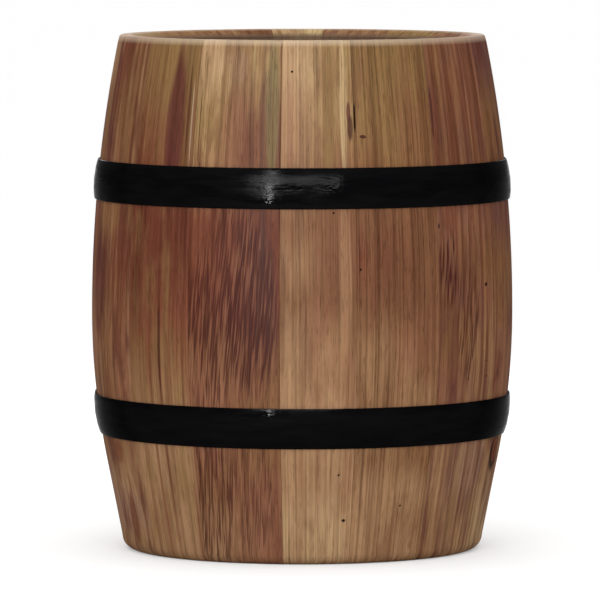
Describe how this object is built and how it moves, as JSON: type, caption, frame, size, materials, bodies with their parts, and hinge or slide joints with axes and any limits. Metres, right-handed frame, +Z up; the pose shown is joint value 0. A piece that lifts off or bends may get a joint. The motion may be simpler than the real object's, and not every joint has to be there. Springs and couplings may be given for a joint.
{
  "type": "wine barrel",
  "caption": "Small upright oak keg with bowed staves, black painted steel hoops, recessed board heads and a tapered bung that pulls out of its side; holds wine.",
  "frame": {"origin": "centre of the ring of stave ends that the keg stands on", "axes": "+Z up the keg's axis, -Y the front, bung at the back left at 135 degrees from +X"},
  "size_m": [0.328, 0.328, 0.4],
  "materials": {
    "stave_oak": "lacquered oak, sanded smooth, stained unevenly red-brown to tan",
    "head_oak": "planed oak boards, thin lacquer",
    "dowel_oak": "raw turned oak",
    "rush": "dry pressed rush",
    "rivet_steel": "steel rivet under black gloss paint",
    "hoop_paint": "steel strip in black gloss paint",
    "bung_wood": "turned hardwood, raw"
  },
  "bodies": {
    "cask": {"bottom_head_board_1": "head_oak", "bottom_head_board_2": "head_oak", "bottom_head_board_3": "head_oak", "bottom_head_board_4": "head_oak", "bottom_head_board_5": "head_oak", "bottom_head_dowels": "dowel_oak", "bottom_head_reeds": "rush", "bung_stave": "stave_oak", "lower_hoop": "hoop_paint", "lower_hoop_rivets": "rivet_steel", "stave_01": "stave_oak", "stave_02": "stave_oak", "stave_03": "stave_oak", "stave_04": "stave_oak", "stave_05": "stave_oak", "stave_06": "stave_oak", "stave_07": "stave_oak", "stave_08": "stave_oak", "stave_09": "stave_oak", "stave_10": "stave_oak", "stave_11": "stave_oak", "stave_12": "stave_oak", "stave_13": "stave_oak", "stave_14": "stave_oak", "stave_15": "stave_oak", "top_head_board_1": "head_oak", "top_head_board_2": "head_oak", "top_head_board_3": "head_oak", "top_head_board_4": "head_oak", "top_head_board_5": "head_oak", "top_head_dowels": "dowel_oak", "top_head_reeds": "rush", "upper_hoop": "hoop_paint", "upper_hoop_rivets": "rivet_steel"},
    "bung": {"bung": "bung_wood"}
  },
  "joints": [
    {"name": "bung_pull", "type": "slide", "parent": "cask", "child": "bung", "axis": [-0.7071, 0.7071, 0], "range_m": [0, 0.06]}
  ]
}
